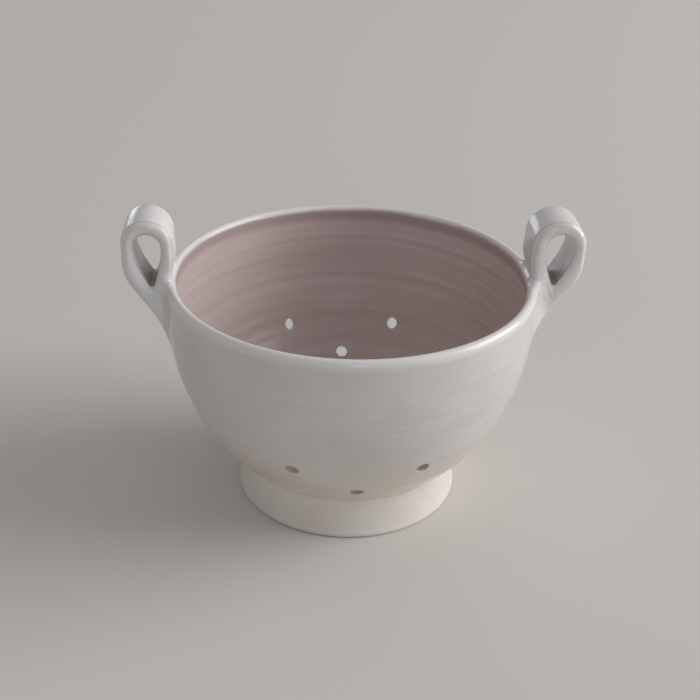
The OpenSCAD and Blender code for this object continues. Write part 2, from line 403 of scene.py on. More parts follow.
def pierce_drain_holes(bowl):
    """Cuts the two staggered rows of drain holes in the wall, and the holes in the floor."""
    bits, made = [], {}
    for at, out in hole_axes():
        length = round(clay_along(at, out) - 2 * BIT_SINK, 2)
        if length not in made:
            made[length] = drain_cutter("drain_bit", length)
        middle = Vector((at - out * (length / 2 + BIT_SINK)) * MM)
        turn = Vector(out).to_track_quat("Z", "Y").to_matrix().to_4x4()
        bits.append(place_copy(made[length], "drain_bit", Matrix.Translation(middle) @ turn))
    for bit in made.values():
        bpy.data.objects.remove(bit)
    only(bits[0])
    for other in bits[1:]:
        other.select_set(True)
    bpy.ops.object.join()
    drill = bits[0]
    only(bowl)
    bpy.ops.object.modifier_add(type="BOOLEAN")
    cut = bowl.modifiers[-1]
    cut.operation, cut.solver, cut.object = "DIFFERENCE", "EXACT", drill
    bpy.ops.object.modifier_apply(modifier=cut.name)
    bpy.data.objects.remove(drill)
    bpy.ops.object.mode_set(mode="EDIT")
    bpy.ops.mesh.select_all(action="SELECT")
    bpy.ops.mesh.remove_doubles(threshold=CUT_WELD * MM)
    # Faces of many sides round the mouths become even triangles, which leaves no folded sliver
    bpy.ops.mesh.select_mode(type="FACE")
    bpy.ops.mesh.select_face_by_sides(number=4, type="GREATER")
    bpy.ops.mesh.quads_convert_to_tris(quad_method="BEAUTY", ngon_method="BEAUTY")
    bpy.ops.object.mode_set(mode="OBJECT")


def even_shading(piece):
    """Lets the broad faces lead the shading, so that no shadow lies round a cut."""
    only(piece)
    bpy.ops.object.modifier_add(type="WEIGHTED_NORMAL")
    lead = piece.modifiers[-1]
    lead.weight, lead.keep_sharp = 100, True
    bpy.ops.object.modifier_apply(modifier=lead.name)


def turn_foot_ring(steps):
    """The foot ring, with soft standing edges and a small fillet of glaze under the wall."""
    edge, fillet = FOOT_EDGE, FOOT_FILLET
    low_out = (FOOT_R + FOOT_SPREAD - edge, edge)
    low_in = (FOOT_IN_R + FOOT_DRAW + edge, edge)
    corner_in = [polar(low_in, edge, a) for a in np.linspace(180, 270, 8)]
    corner_out = [polar(low_out, edge, a) for a in np.linspace(270, 360, 9)]
    joint, base_edge = outside_at(JOINT_ANGLE), outside_at(BASE_ANGLE)
    slope = np.array([BOWL_R * math.sin(JOINT_ANGLE), CURVE_H * math.cos(JOINT_ANGLE)])
    slope /= np.linalg.norm(slope)
    side = [(FOOT_R + FOOT_SPREAD * (1 - s) ** 2, edge + (FOOT_H - fillet - edge) * s)
            for s in spread(0, 1, 14)]
    top = [bend(side[-1], joint, joint + slope * fillet, s) for s in spread(0, 1, 8)[1:]]
    # The ring's top runs back inside the clay of the wall
    sunk = [joint + slope * fillet * 0.9 + np.array([-0.55, 0.45]), joint + np.array([-1.2, 1.1]),
            base_edge + np.array([1.6, 1.6]), base_edge + np.array([0.2, 0.8])]
    inner = [(FOOT_IN_R + FOOT_DRAW * s * s, BASE_H + (edge - BASE_H) * s) for s in spread(0, 1, 10)]
    side_step, under_step = 0.8, 1.0
    outline = (even(inner[:-1] + corner_in, side_step)[:-1]
               + even([corner_in[-1], corner_out[0]], under_step) + corner_out[1:]
               + even([corner_out[-1]] + side[1:], side_step)[1:] + top + sunk)
    foot = spin_outline("foot_ring_turned", outline, steps, closed=True)
    p = points_of(foot)
    turn = np.arctan2(p[:, 1], p[:, 0])
    r = np.hypot(p[:, 0], p[:, 1])
    body = smooth_step(1.6, 3.5, p[:, 2]) * (1 - smooth_step(FOOT_H - 4, FOOT_H - 1, p[:, 2]))
    climb = TURN_CLIMB * turn / (2 * math.pi)
    shift = (ripple(p[:, 2] + climb, TURN_PITCH, 3) - 1) * TURN_DEPTH * body
    shift -= FOOT_WOBBLE * (1 + np.sin(3 * turn + 1.0)) * body * (r > FOOT_R - 2)
    move_points(foot, p + normals_of(foot) * shift[:, None])
    return foot


def wall_gap(p):
    """Distance of each point from the outside of the bowl, less than 0 in the clay, and the way out."""
    r = np.maximum(np.hypot(p[:, 0], p[:, 1]), TINY)
    z = p[:, 2]
    drop = np.maximum(BELLY_H - z, 0)
    f = np.hypot(r / BOWL_R, drop / CURVE_H)
    g = np.stack([r / BOWL_R ** 2 / f, -drop / CURVE_H ** 2 / f], 1)
    steep = np.linalg.norm(g, axis=1)
    gap, out = (f - 1) / steep, g / steep[:, None]
    # Over the lip the outside is a half ellipse
    lip = z > RIM_H - LIP_ROUND
    lr, lz = r - (BOWL_R - LIP_T / 2), z - (RIM_H - LIP_ROUND)
    f = np.maximum(np.hypot(lr / (LIP_T / 2), lz / LIP_ROUND), TINY)
    g = np.stack([lr / (LIP_T / 2) ** 2 / f, lz / LIP_ROUND ** 2 / f], 1)
    steep = np.maximum(np.linalg.norm(g, axis=1), TINY)
    away = np.hypot(lr, lz)
    far = away - np.hypot(LIP_T / 2 * lr, LIP_ROUND * lz) / np.maximum(away, TINY)
    gap = np.where(lip, np.where(f > 1, far, (f - 1) / steep), gap)
    out = np.where(lip[:, None], g / steep[:, None], out)
    way = np.stack([out[:, 0] * p[:, 0] / r, out[:, 0] * p[:, 1] / r, out[:, 1]], 1)
    return gap, way


# The strap loops, in millimetres: both follow one outline, with what the hand made different.
# The eye is the opening and its tip the narrow foot, the knee is the outer leg's bend, the root
# and the seat are where the legs meet wall and lip, and a web is clay drawn out round the feet.
STRAP_W = 20.5
ROOT_W = 22.2
STRAP_T = 5.5
CROWN_T = 6.6
LOOP_IN = 4.3
TIP_RISE = -2.0
TIP_R = 0.75
KNEE_RISE = 9.0
KNEE_R = 22.0
ROOT_DROP = 22.0
ROOT_SINK = 2.4
SEAT_OUT = 0.5
OUTER_ROUND = 2.2
EYE_ROUND = 1.5
ROOT_SPREAD_H = (90, 102)
CLAY_GRAIN = 0.34

# The tip's arc in degrees, and how far down each leg the curves leave the upright
TIP_FROM = -20
TIP_SWEEP = 130
OUTER_BEND = 0.45
INNER_BEND = 0.5
LEG_BEND = 0.55

# The leaf of wall behind a handle: from this height, over the lip, to this place inside
LEAF_LOW = 70
LEAF_END = (77, 99)
LEAF_HALF_TURN = 17
LEAF_T = 1.5
LEAF_SINK = 0.03

# How the hand works the clay: how near the wall it is luted, how much in each stroke, where the
# web is wide (low down, or outside the wall and beside the loop's middle), and how full it is left
LUTE_REACH = 9
LUTE_DEPTH = 0.4
LUTE_STROKE = 0.6
LUTE_STROKES = 6
WEB_LEAST = 2.0
WEB_H = (90, 101)
WEB_R = (73.5, 79.0)
WEB_Y = (4, 12)
WEB_OFF_EYE = (1.2, 3.0)
CLEAR_OF_WALL = (1.5, 6.0)
DIP_H = (104, 120)
EDGE_FALL = 0.30
FACE_FALL = 1.15
LEVEL_PULL = 0.4

# Each valley is a crease: its line in the plane of the loop, how deep it is and how wide
HANDS = {
    "left": {"side": -1, "loop_w": 21.8, "rise": 28.5, "leg_t": 5.4, "tip_out": 5.1, "bow": 0.8,
             "dip": 0.040, "web": 6.0, "front_web": 6.5,
             "valleys": [(((82.6, 101.6), (80.3, 98.0), (79.9, 94.8), (82.0, 91.0)), 0.75, 0.95)]},
    "right": {"side": 1, "loop_w": 23.8, "rise": 27.8, "leg_t": 6.8, "tip_out": 6.8, "bow": 0.9,
              "dip": 0.015, "web": 6.0, "front_web": 8.0,
              "valleys": [(((82.6, 104.2), (85.0, 98.7), (86.1, 96.3)), 0.42, 0.55),
                          (((87.0, 102.2), (86.6, 96.4)), 0.22, 0.6)]},
}


def root_spread(z):
    """How much wider than on its loop the strap is at a height, where its root was pressed out."""
    return 1 + (1 - smooth_step(*ROOT_SPREAD_H, z)) * (ROOT_W / STRAP_W - 1)


def strap_outlines(hand):
    """Pairs of places on the opening's edge and on the outer edge of the strap, all round the loop."""
    loop_r = hand["loop_w"] / 2
    eye_r = (hand["loop_w"] - hand["leg_t"] - STRAP_T) / 2
    loop_at = np.array([BOWL_R - LOOP_IN + loop_r, RIM_H + hand["rise"] - loop_r])
    eye_at = loop_at + np.array([(hand["leg_t"] - STRAP_T) / 2, loop_r - CROWN_T - eye_r])
    tip_at = np.array([BOWL_R + hand["tip_out"], RIM_H + TIP_RISE + TIP_R])
    knee_at = np.array([loop_at[0] + loop_r - KNEE_R, RIM_H + KNEE_RISE])
    root_at = np.array([BOWL_R, RIM_H - ROOT_DROP])
    reach = root_at - knee_at
    lean = -math.degrees(math.atan2(reach[1], reach[0]) + math.acos(KNEE_R / np.linalg.norm(reach)))
    knee_end = polar(knee_at, KNEE_R, -lean)
    root_low = root_at - ROOT_SINK * np.array([1, 1 / math.tan(math.radians(lean))])
    seat_at = np.array([BOWL_R - LIP_T / 2 + SEAT_OUT, RIM_H])
    # Over the crown
    pairs = [(polar(eye_at, eye_r, 180 - 180 * s), polar(loop_at, loop_r, 180 - 180 * s))
             for s in spread(0, 1, 48)]
    # Down the outer leg and round the knee
    straight = loop_at[1] - knee_at[1]
    length = straight + KNEE_R * math.radians(lean)
    eye_top = eye_at + np.array([eye_r, 0])
    eye_turn = np.array([eye_top[0], eye_top[1] + (tip_at[1] - eye_top[1]) * OUTER_BEND])
    for s in spread(0, 1, 36)[1:]:
        run = s * length
        edge = (np.array([loop_at[0] + loop_r, loop_at[1] - run]) if run < straight
                else polar(knee_at, KNEE_R, -math.degrees((run - straight) / KNEE_R)))
        pairs.append((bend(eye_top, eye_turn, polar(tip_at, TIP_R, TIP_FROM), s), edge))
    # Round the opening's tip, and inside the wall from the root up to the lip
    root_high = np.array([root_low[0], seat_at[1] - ROOT_SINK])
    for s in spread(0, 1, 24)[1:-1]:
        edge = (knee_end + (root_low - knee_end) * 2 * s if s < 0.5
                else root_low + (root_high - root_low) * (2 * s - 1))
        pairs.append((polar(tip_at, TIP_R, TIP_FROM - TIP_SWEEP * s), edge))
    # Up the inner leg
    eye_top = eye_at - np.array([eye_r, 0])
    eye_turn = np.array([eye_top[0], eye_top[1] + (tip_at[1] - eye_top[1]) * INNER_BEND])
    low = seat_at - np.array([0, ROOT_SINK / 2])
    high = loop_at - np.array([loop_r, 0])
    turn = np.array([high[0], high[1] + (low[1] - high[1]) * LEG_BEND])
    for s in spread(0, 1, 36)[:-1]:
        bow = np.array([hand["bow"] * math.sin(math.pi * s) ** 2, 0])
        pairs.append((bend(polar(tip_at, TIP_R, TIP_FROM - TIP_SWEEP), eye_turn, eye_top, s),
                      bend(low, turn, high, s) - bow))
    return pairs


def draw_closed(name, outline, y):
    """Draws one closed outline in the plane of the loop."""
    piece = draw_line(name, outline, y)
    close_line(piece, len(outline))
    bpy.ops.object.mode_set(mode="OBJECT")
    return piece


def round_long_edges(strap, outline, reach):
    """Rounds the two long edges of the strap that follow one outline."""
    on_it = 0.01
    marks = np.array(outline)
    p = points_of(strap)
    flat = np.abs(np.abs(p[:, 1]) - STRAP_W / 2) < on_it
    near = np.array([np.min(np.hypot(marks[:, 0] - abs(q[0]), marks[:, 1] - q[2])) < on_it for q in p])
    bpy.ops.object.mode_set(mode="EDIT")
    bpy.ops.mesh.select_mode(type="EDGE")
    bpy.ops.mesh.select_all(action="DESELECT")
    bpy.ops.object.mode_set(mode="OBJECT")
    for edge in strap.data.edges:
        a, b = edge.vertices
        edge.select = bool(flat[a] and flat[b] and near[a] and near[b] and p[a][1] * p[b][1] > 0)
    bpy.ops.object.mode_set(mode="EDIT")
    bpy.ops.mesh.bevel(offset=reach * MM, segments=5, profile=0.5, affect="EDGES", clamp_overlap=False)
    bpy.ops.object.mode_set(mode="OBJECT")


def wall_leaf(side):
    """A thin leaf of the wall and lip behind a handle, on to which the handle's clay is drawn out."""
    outline = [q for q in bowl_outline() if q[1] > LEAF_LOW]
    last = next(i for i, q in enumerate(outline) if q[0] < LEAF_END[0] and q[1] < LEAF_END[1])
    line = np.array(even(outline[:last], 0.4))
    bpy.ops.object.select_all(action="DESELECT")
    bpy.ops.mesh.primitive_grid_add(x_subdivisions=90, y_subdivisions=len(line) - 1, size=1)
    leaf = bpy.context.object
    leaf.name = "wall_leaf"
    p = points_of(leaf) * MM
    turn = p[:, 0] * 2 * math.radians(LEAF_HALF_TURN)
    at = (p[:, 1] + 0.5) * (len(line) - 1)
    way = np.gradient(line, axis=0)
    way /= np.linalg.norm(way, axis=1)[:, None]
    sunk = line + np.stack([-way[:, 1], way[:, 0]], 1) * (LEAF_SINK + LEAF_T / 2)
    steps = np.arange(len(line))
    r, z = np.interp(at, steps, sunk[:, 0]), np.interp(at, steps, sunk[:, 1])
    move_points(leaf, np.stack([side * r * np.cos(turn), r * np.sin(turn), z], 1))
    bpy.ops.object.modifier_add(type="SOLIDIFY")
    thicken = leaf.modifiers[-1]
    thicken.thickness, thicken.offset = LEAF_T * MM, 0
    bpy.ops.object.modifier_apply(modifier=thicken.name)
    return leaf


def pull_strap(hand, name):
    """One clay strap folded into a loop, its ends pressed together and luted to the rim."""
    pairs = strap_outlines(hand)
    eye = [(hand["side"] * a[0], a[1]) for a, b in pairs]
    outer = [(hand["side"] * b[0], b[1]) for a, b in pairs]
    opening = draw_closed("opening", eye, -STRAP_W / 2)
    strap = draw_closed(name, outer, -STRAP_W / 2)
    opening.select_set(True)
    bpy.ops.object.join()
    bpy.ops.object.mode_set(mode="EDIT")
    bpy.ops.mesh.select_mode(type="EDGE")
    bpy.ops.mesh.select_all(action="SELECT")
    bpy.ops.mesh.bridge_edge_loops()
    bpy.ops.mesh.select_all(action="SELECT")
    bpy.ops.mesh.extrude_region_move(TRANSFORM_OT_translate={"value": (0, STRAP_W * MM, 0)})
    bpy.ops.mesh.select_all(action="SELECT")
    bpy.ops.mesh.normals_make_consistent(inside=False)
    bpy.ops.object.mode_set(mode="OBJECT")
    round_long_edges(strap, [(abs(x), z) for x, z in outer], OUTER_ROUND)
    round_long_edges(strap, [(abs(x), z) for x, z in eye], EYE_ROUND)
    p = points_of(strap)
    p[:, 1] *= root_spread(p[:, 2])
    move_points(strap, p)
    leaf = wall_leaf(hand["side"])
    only(strap)
    leaf.select_set(True)
    bpy.ops.object.join()
    bpy.ops.object.modifier_add(type="REMESH")
    knead = strap.modifiers[-1]
    knead.mode, knead.voxel_size = "VOXEL", CLAY_GRAIN * MM
    bpy.ops.object.modifier_apply(modifier=knead.name)
    lute_to_rim(strap, hand)
    press_by_hand(strap, hand)
    level_clay(strap, 4, np.ones(len(strap.data.vertices)))
    return strap


def away_from(p, line):
    """Distance of each place from a line of points in the plane of the loop, and its share along it."""
    best, share = np.full(len(p), FAR), np.zeros(len(p))
    for i in range(len(line) - 1):
        a, b = np.array(line[i]), np.array(line[i + 1])
        way = b - a
        s = np.clip(((p[:, 0] - a[0]) * way[0] + (p[:, 1] - a[1]) * way[1]) / (way @ way), 0, 1)
        off = np.hypot(p[:, 0] - a[0] - s * way[0], p[:, 1] - a[1] - s * way[1])
        closer = off < best
        best = np.where(closer, off, best)
        share = np.where(closer, (i + s) / (len(line) - 1), share)
    return best, share


def strap_gap(p, hand):
    """Distance of each place from the strap with its opening filled, less than 0 in the clay."""
    outline = [outer for eye, outer in strap_outlines(hand)]
    outline.append(outline[0])
    x, z = p[:, 0] * hand["side"], p[:, 2]
    off = away_from(np.stack([x, z], 1), outline)[0]
    within = np.zeros(len(p), bool)
    for (ax, az), (bx, bz) in zip(outline[:-1], outline[1:]):
        if az != bz:
            within ^= ((az > z) != (bz > z)) & (x < (bx - ax) * (z - az) / (bz - az) + ax)
    u = np.where(within, -off, off) + OUTER_ROUND
    v = np.abs(p[:, 1]) - STRAP_W / 2 * root_spread(z) + OUTER_ROUND
    return np.minimum(np.maximum(u, v), 0) + np.hypot(np.maximum(u, 0), np.maximum(v, 0)) - OUTER_ROUND


def lute_to_rim(strap, hand):
    """Fills the corners between strap and wall, little by little, as a finger draws clay round."""
    eye = [eye for eye, outer in strap_outlines(hand)]
    p = points_of(strap)
    wall = wall_gap(p)[0]
    near = np.flatnonzero((wall > -LUTE_DEPTH) & (wall < LUTE_REACH))
    near = near[strap_gap(p[near], hand) < LUTE_REACH]
    q = p[near]
    # The fillet is wide beside the feet on the outside of the wall, and narrow elsewhere
    low = 1 - smooth_step(*WEB_H, q[:, 2])
    outward = smooth_step(*WEB_R, np.hypot(q[:, 0], q[:, 1]))
    side = np.maximum(smooth_step(*WEB_Y, np.abs(q[:, 1])) * outward, low)
    web = np.where(q[:, 1] < 0, hand["front_web"], hand["web"])
    reach = WEB_LEAST + (web - WEB_LEAST) * side
    apart = away_from(np.stack([q[:, 0] * hand["side"], q[:, 2]], 1), eye + eye[:1])[0]
    off_eye = smooth_step(*WEB_OFF_EYE, apart)
    nudge = 0.02
    for _ in range(LUTE_STROKES):
        wall, off_wall = wall_gap(q)
        clay = strap_gap(q, hand)
        off_clay = np.stack([(strap_gap(q + np.eye(3)[k] * nudge, hand) - clay) / nudge
                             for k in range(3)], 1)
        meet = np.clip(1 - np.abs(clay - wall) / reach, 0, 1)
        lack = meet ** 2 * reach / 4 - np.minimum(clay, wall)
        lean = np.clip(0.5 + 0.5 * (wall - clay) / reach, 0, 1)[:, None]
        way = off_clay * lean + off_wall * (1 - lean)
        way /= np.maximum((way ** 2).sum(1), 0.3)[:, None]
        q += way * (np.where(meet > 0, np.clip(lack, 0, LUTE_STROKE), 0) * off_eye)[:, None]
    p[near] = q
    move_points(strap, p)
    share = np.zeros(len(p))
    share[near] = smooth_step(0.0, 0.2, meet) * smooth_step(0.02, 0.2, wall)
    level_clay(strap, 24, share)


def press_by_hand(strap, hand):
    """The uneven places that fingers leave: fuller faces, creases under the opening, a soft waver."""
    p = points_of(strap)
    n = normals_of(strap)
    x = p[:, 0] * hand["side"]
    facing = np.abs(n[:, 1])
    gap = wall_gap(p)[0]
    free = smooth_step(*CLEAR_OF_WALL, gap)
    # The strap's broad sides fall off towards its long edges
    broad = 1 - smooth_step(0.3, 0.8, facing)
    p -= n * (EDGE_FALL * (2 * p[:, 1] / STRAP_W) ** 2 * broad * free)[:, None]
    waver = (0.06 * np.sin(0.33 * p[:, 2] + 0.25 * p[:, 1] + hand["side"])
             + 0.04 * np.sin(0.45 * x - 0.37 * p[:, 1] + 2.0 * hand["side"]) - 0.10)
    p += n * (waver * free)[:, None]
    # The faces at the front and the back were left full along their middle
    flat = np.stack([x, p[:, 2]], 1)
    pairs = strap_outlines(hand)
    to_eye = away_from(flat, [a for a, b in pairs[::3]] + [pairs[0][0]])[0]
    to_outer = away_from(flat, [b for a, b in pairs[::3]] + [pairs[0][1]])[0]
    middle = to_eye / (to_eye + to_outer + TINY)
    face = smooth_step(0.3, 0.9, facing)
    p[:, 1] -= np.sign(n[:, 1]) * FACE_FALL * (2 * middle - 1) ** 2 * face * free
    # The creases are deeper at the front than at the back
    front = smooth_step(0.4, 0.9, facing) * np.where(p[:, 1] < 0, 1.0, 0.6)
    for line, deep, wide in hand["valleys"]:
        off, share = away_from(np.stack([x, p[:, 2]], 1), line)
        ends = smooth_step(0, 0.15, share) * (1 - smooth_step(0.8, 1, share))
        p -= n * (deep * ends * np.exp(-(off / wide) ** 2) * front * smooth_step(0, 1, gap))[:, None]
    # The front of the loop was pressed a little lower than its back
    high = smooth_step(*DIP_H, p[:, 2])
    p[:, 2] += (p[:, 1] - STRAP_W / 2) * hand["dip"] * high
    move_points(strap, p)


def inside_loop(strap, hand):
    """The share of each place that lies on the opening's walls, in its narrow foot where shade is painted,
    and on its edge.
    """
    p, n = points_of(strap), normals_of(strap)
    eye = [eye for eye, outer in strap_outlines(hand)]
    off = away_from(np.stack([p[:, 0] * hand["side"], p[:, 2]], 1), eye[::3] + eye[:1])[0]
    facing = np.abs(n[:, 1])
    loop = (1 - smooth_step(0.4, 1.6, off)) * (1 - smooth_step(0.2, 0.7, facing))
    # Painted shade deep in the opening's narrow foot, up to a little above the rim
    pocket_shade = loop * (1 - smooth_step(RIM_H - 0.5, RIM_H + 7.5, p[:, 2]))
    turning = smooth_step(0.15, 0.45, facing) * (1 - smooth_step(0.70, 0.92, facing))
    return loop, pocket_shade, (1 - smooth_step(0.8, 1.6, off)) * turning


def level_clay(strap, passes, share):
    """Evens out what the kneading left on the clay, fully where the share is 1."""
    a, b = edge_ends(strap)
    p = points_of(strap)
    size = len(p)
    count = np.bincount(a, minlength=size) + np.bincount(b, minlength=size)
    for _ in range(passes):
        mean = [(np.bincount(a, p[b, k], size) + np.bincount(b, p[a, k], size)) / count for k in range(3)]
        p += (np.stack(mean, 1) - p) * (LEVEL_PULL * share)[:, None]
    move_points(strap, p)


def sharp_places(piece, reach):
    """How sharply the clay turns outwards at each point, where glaze runs thin: 0 to 1."""
    p, n = points_of(piece), normals_of(piece)
    a, b = edge_ends(piece)
    way = p[b] - p[a]
    far = np.maximum(np.linalg.norm(way, axis=1), 0.05)
    bent = ((n[b] - n[a]) * way).sum(1) / far ** 2
    total, count = np.zeros(len(p)), np.zeros(len(p))
    for end in (a, b):
        np.add.at(total, end, bent)
        np.add.at(count, end, 1)
    curve = total / np.maximum(count, 1)
    for _ in range(6):
        mean = np.zeros(len(p))
        np.add.at(mean, a, curve[b])
        np.add.at(mean, b, curve[a])
        curve = 0.5 * curve + 0.5 * mean / np.maximum(count, 1)
    return smooth_step(0, 1, curve * reach)


# Glazes

def new_material(name):
    material = bpy.data.materials.new(name)
    material.use_nodes = True
    tree = material.node_tree
    return material, tree, tree.nodes["Principled BSDF"]


def add(tree, kind, **settings):
    node = tree.nodes.new(kind)
    for key, value in settings.items():
        setattr(node, key, value)
    return node


def feed(tree, socket, value):
    """Links an output to a socket, or sets the socket where the value is plain."""
    if isinstance(value, bpy.types.NodeSocket):
        tree.links.new(value, socket)
    else:
        socket.default_value = value


def sums(tree, operation, a, b):
    node = add(tree, "ShaderNodeMath", operation=operation)
    feed(tree, node.inputs[0], a)
    feed(tree, node.inputs[1], b)
    return node.outputs[0]


def weighed(tree, a, share_a, b, share_b):
    """Adds two values, each by its own share."""
    return sums(tree, "ADD", sums(tree, "MULTIPLY", a, share_a), sums(tree, "MULTIPLY", b, share_b))


def between(tree, value, low, high, to_low=0.0, to_high=1.0):
    """Moves a value softly from one range to another."""
    node = add(tree, "ShaderNodeMapRange", interpolation_type="SMOOTHSTEP")
    feed(tree, node.inputs["Value"], value)
    for key, number in (("From Min", low), ("From Max", high), ("To Min", to_low), ("To Max", to_high)):
        node.inputs[key].default_value = number
    return node.outputs["Result"]


def blend_colours(tree, share, first, second):
    node = add(tree, "ShaderNodeMix", data_type="RGBA")
    feed(tree, node.inputs["Factor"], share)
    feed(tree, node.inputs["A"], first)
    feed(tree, node.inputs["B"], second)
    return node.outputs["Result"]


def tint(tree, colour, towards, place, strength):
    """Takes a colour towards another one at a place, as strongly as told."""
    return blend_colours(tree, sums(tree, "MULTIPLY", place, strength), colour, towards)


def clay_place(tree, scale, shift=(0, 0, 0)):
    """Object coordinates, stretched: the scale is turns per metre along X, Y and Z."""
    coordinates = add(tree, "ShaderNodeTexCoord")
    mapping = add(tree, "ShaderNodeMapping")
    mapping.inputs["Scale"].default_value = scale
    mapping.inputs["Location"].default_value = shift
    tree.links.new(coordinates.outputs["Object"], mapping.inputs["Vector"])
    return mapping.outputs["Vector"]


def cloud(tree, vector, detail, roughness):
    """A soft uneven pattern, 0 to 1."""
    node = add(tree, "ShaderNodeTexNoise")
    tree.links.new(vector, node.inputs["Vector"])
    node.inputs["Scale"].default_value = 1.0
    node.inputs["Detail"].default_value = detail
    node.inputs["Roughness"].default_value = roughness
    return node.outputs["Fac"]


def own(tree, name):
    """A number that was painted on the piece's points."""
    node = add(tree, "ShaderNodeAttribute", attribute_type="GEOMETRY", attribute_name=name)
    return node.outputs["Fac"]


def height_in_mm(tree):
    split = add(tree, "ShaderNodeSeparateXYZ")
    tree.links.new(clay_place(tree, (1000, 1000, 1000)), split.inputs[0])
    return split.outputs["Z"]


# Colours of the glazes and the clay, and of painted light and shade
WHITE = (0.672, 0.657, 0.644, 1)
WHITE_THIN = (0.615, 0.590, 0.570, 1)
HANDLE_WHITE = (0.780, 0.777, 0.790, 1)
HANDLE_THIN = (0.720, 0.708, 0.712, 1)
# WARM_BOUNCE is partly the glaze's own warmth and partly painted warm bounce light low on the wall
WARM_BOUNCE = (0.75, 0.610, 0.500, 1)
# BORE_SHADE is painted shade inside the drain holes' bores
BORE_SHADE = (0.53, 0.49, 0.485, 1)
THIN_EDGE = (0.46, 0.385, 0.34, 1)
SPECK = (0.10, 0.085, 0.08, 1)
# POCKET_SHADE is painted shade in the narrow foot of each handle's opening
POCKET_SHADE = (0.34, 0.30, 0.26, 1)
PINK = (0.610, 0.518, 0.508, 1)
PINK_DEEP = (0.525, 0.433, 0.420, 1)
PINK_DARK_BAND = (0.40, 0.310, 0.300, 1)
SLIP = (0.765, 0.724, 0.693, 1)
SLIP_THIN = (0.715, 0.660, 0.626, 1)
SLIP_LINE = (0.62, 0.56, 0.53, 1)
SLIP_EDGE = (0.50, 0.44, 0.40, 1)
PINHOLE = (0.30, 0.25, 0.22, 1)

# Patterns in the glazes, in turns per metre along X, Y and Z: thrown lines run round the bowl
WHITE_DRIFT = (28, 28, 28)
WHITE_LINES = (14, 14, 520)
WHITE_GLOSS = (95, 95, 95)
WHITE_SKIN = (420, 420, 420)
RIM_WANDER = (34, 34, 60)
PINK_FINE = (9, 9, 1150)
PINK_BROAD = (6, 6, 210)
PINK_DRIFT = (22, 22, 30)
SLIP_DRIFT = (40, 40, 40)
SLIP_LINES = (12, 12, 640)
SLIP_GRAIN = (800, 800, 800)

# Heights over the table and depths under the rim, in mm, between which a glaze changes or painted light
# fades
WARM_BOUNCE_BELOW = (18, 62)
LIP_SHEEN_BAND = (1.5, 5.0)
PINK_FROM = (0.5, 2.4)
DARK_BAND_FROM = (1.0, 2.6)
DARK_BAND_TO = (4.5, 9.5)

# Glaze is thinnest where clay turns on a smaller radius, in mm, and on the opening's edge
THIN_RADIUS = 2.0
OPENING_EDGE = 0.8
LUTED_FADE = (0.05, 3.0)
GLASS_IOR = 1.5
SHARP_DEGREES = 50


def dots(tree, per_metre, shift, full, end, channel, share):
    """Small round dots, fading from full to their end, of which only a share of the cells has one."""
    cells = add(tree, "ShaderNodeTexVoronoi")
    tree.links.new(clay_place(tree, (per_metre, per_metre, per_metre), shift), cells.inputs["Vector"])
    cells.inputs["Scale"].default_value = 1.0
    dot = between(tree, cells.outputs["Distance"], full, end, 1, 0)
    split = add(tree, "ShaderNodeSeparateColor")
    tree.links.new(cells.outputs["Color"], split.inputs[0])
    chosen = between(tree, split.outputs[channel], 1 - share, 1 - share + 0.02)
    return sums(tree, "MULTIPLY", dot, chosen)


def white_glaze(tree, thick, thinner):
    """Colour, roughness and relief of the white gloss glaze, thick and where it runs thinner, and warmer
    low down, partly from the glaze's own warmth and partly from painted warm light bounced up from below.
    """
    drift = cloud(tree, clay_place(tree, WHITE_DRIFT), 3, 0.55)
    lines = cloud(tree, clay_place(tree, WHITE_LINES), 3, 0.6)
    thin = between(tree, weighed(tree, drift, 0.6, lines, 0.4), 0.36, 0.66)
    colour = blend_colours(tree, thin, thick, thinner)
    # Low on the wall the colour is warmed, partly by the glaze's own warmth and partly by painted bounce
    # light from below
    low = between(tree, height_in_mm(tree), *WARM_BOUNCE_BELOW, 1.0, 0)
    colour = tint(tree, colour, WARM_BOUNCE, low, between(tree, drift, 0.25, 0.75, 0.7, 1.0))
    colour = tint(tree, colour, THIN_EDGE, own(tree, "edge"), 0.55)
    gloss = cloud(tree, clay_place(tree, WHITE_GLOSS, (5, 1, 2)), 3, 0.6)
    rough = between(tree, gloss, 0.3, 0.7, 0.10, 0.20)
    skin = cloud(tree, clay_place(tree, WHITE_SKIN), 2, 0.5)
    return colour, rough, weighed(tree, lines, 0.7, skin, 0.3)


def below_rim(tree):
    """How far below the rim a place lies, in mm, by a line that wanders a little."""
    wander = cloud(tree, clay_place(tree, RIM_WANDER, (2, 2, 2)), 3, 0.6)
    drop = sums(tree, "SUBTRACT", RIM_H, height_in_mm(tree))
    return sums(tree, "ADD", drop, between(tree, wander, 0.25, 0.75, -0.5, 0.5))


def wall_white(tree, drop):
    """The white glaze as it lies on the wall, with a paler, cooler band at the lip that is painted sheen
    of the light from above.
    """
    colour, rough, relief = white_glaze(tree, WHITE, WHITE_THIN)
    # Painted sheen: near the rim the wall takes the handles' paler white, as if lit from above
    lip_sheen = between(tree, drop, *LIP_SHEEN_BAND, 0.75, 0)
    return blend_colours(tree, lip_sheen, colour, HANDLE_WHITE), rough, relief


